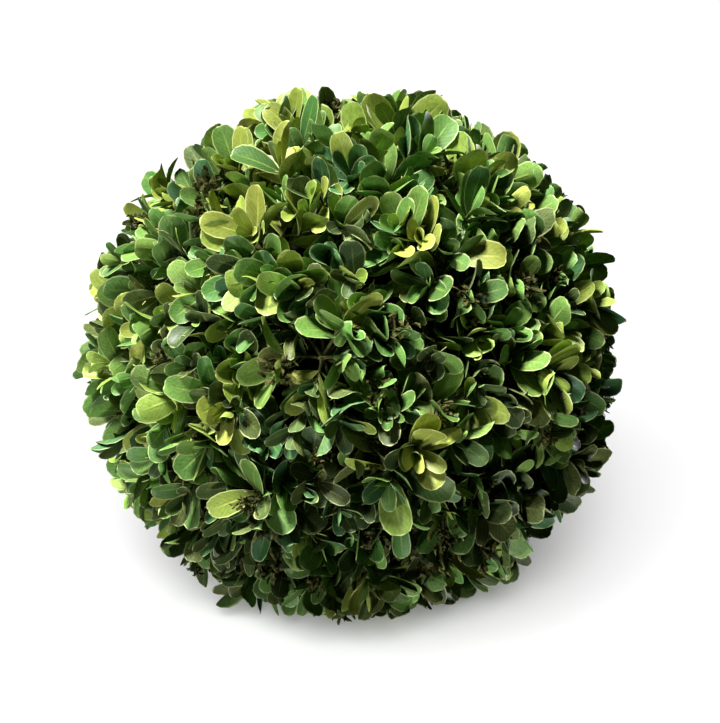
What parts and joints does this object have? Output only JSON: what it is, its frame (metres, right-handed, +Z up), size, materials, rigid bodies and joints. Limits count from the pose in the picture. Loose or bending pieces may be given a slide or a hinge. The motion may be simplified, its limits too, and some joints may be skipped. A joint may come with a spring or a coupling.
{
  "type": "preserved box topiary ball",
  "caption": "Round ball of small preserved box leaves: cut sprays pinned all over a round form, pressed a little flat underneath, lying free.",
  "frame": {"origin": "on the floor, under the middle of the ball", "axes": "+Z up; the ball is round about it, so +X and +Y are any two level directions"},
  "size_m": [0.2491, 0.2488, 0.2371],
  "materials": {
    "moss_form": "dark dried moss over a light foam ball",
    "leaf_mid_green": "semi-gloss preserved leaf",
    "leaf_light_green": "satin preserved leaf",
    "leaf_deep_green": "semi-gloss preserved leaf",
    "leaf_yellow_green": "matt preserved leaf"
  },
  "bodies": {
    "root": {"form_ball": "moss_form", "leaf_spray_01": "leaf_mid_green", "leaf_spray_02": "leaf_light_green", "leaf_spray_03": "leaf_deep_green", "leaf_spray_04": "leaf_yellow_green", "leaf_spray_05": "leaf_mid_green", "leaf_spray_06": "leaf_light_green", "leaf_spray_07": "leaf_deep_green", "leaf_spray_08": "leaf_yellow_green", "leaf_spray_09": "leaf_mid_green", "leaf_spray_10": "leaf_light_green", "leaf_spray_11": "leaf_deep_green", "leaf_spray_12": "leaf_yellow_green", "leaf_spray_13": "leaf_mid_green", "leaf_spray_14": "leaf_light_green", "leaf_spray_15": "leaf_deep_green", "leaf_spray_16": "leaf_yellow_green", "leaf_spray_17": "leaf_mid_green", "leaf_spray_18": "leaf_light_green", "leaf_spray_19": "leaf_deep_green", "leaf_spray_20": "leaf_yellow_green", "leaf_spray_21": "leaf_mid_green", "leaf_spray_22": "leaf_light_green", "leaf_spray_23": "leaf_deep_green", "leaf_spray_24": "leaf_yellow_green", "leaf_spray_25": "leaf_mid_green", "leaf_spray_26": "leaf_light_green", "leaf_spray_27": "leaf_deep_green", "leaf_spray_28": "leaf_yellow_green", "leaf_spray_29": "leaf_mid_green", "leaf_spray_30": "leaf_light_green", "leaf_spray_31": "leaf_deep_green", "leaf_spray_32": "leaf_yellow_green", "leaf_spray_33": "leaf_mid_green", "leaf_spray_34": "leaf_light_green", "leaf_spray_35": "leaf_deep_green", "leaf_spray_36": "leaf_yellow_green", "leaf_spray_37": "leaf_mid_green", "leaf_spray_38": "leaf_light_green", "leaf_spray_39": "leaf_deep_green", "leaf_spray_40": "leaf_yellow_green", "leaf_spray_41": "leaf_mid_green", "leaf_spray_42": "leaf_light_green", "leaf_spray_43": "leaf_deep_green", "leaf_spray_44": "leaf_yellow_green"}
  },
  "joints": []
}
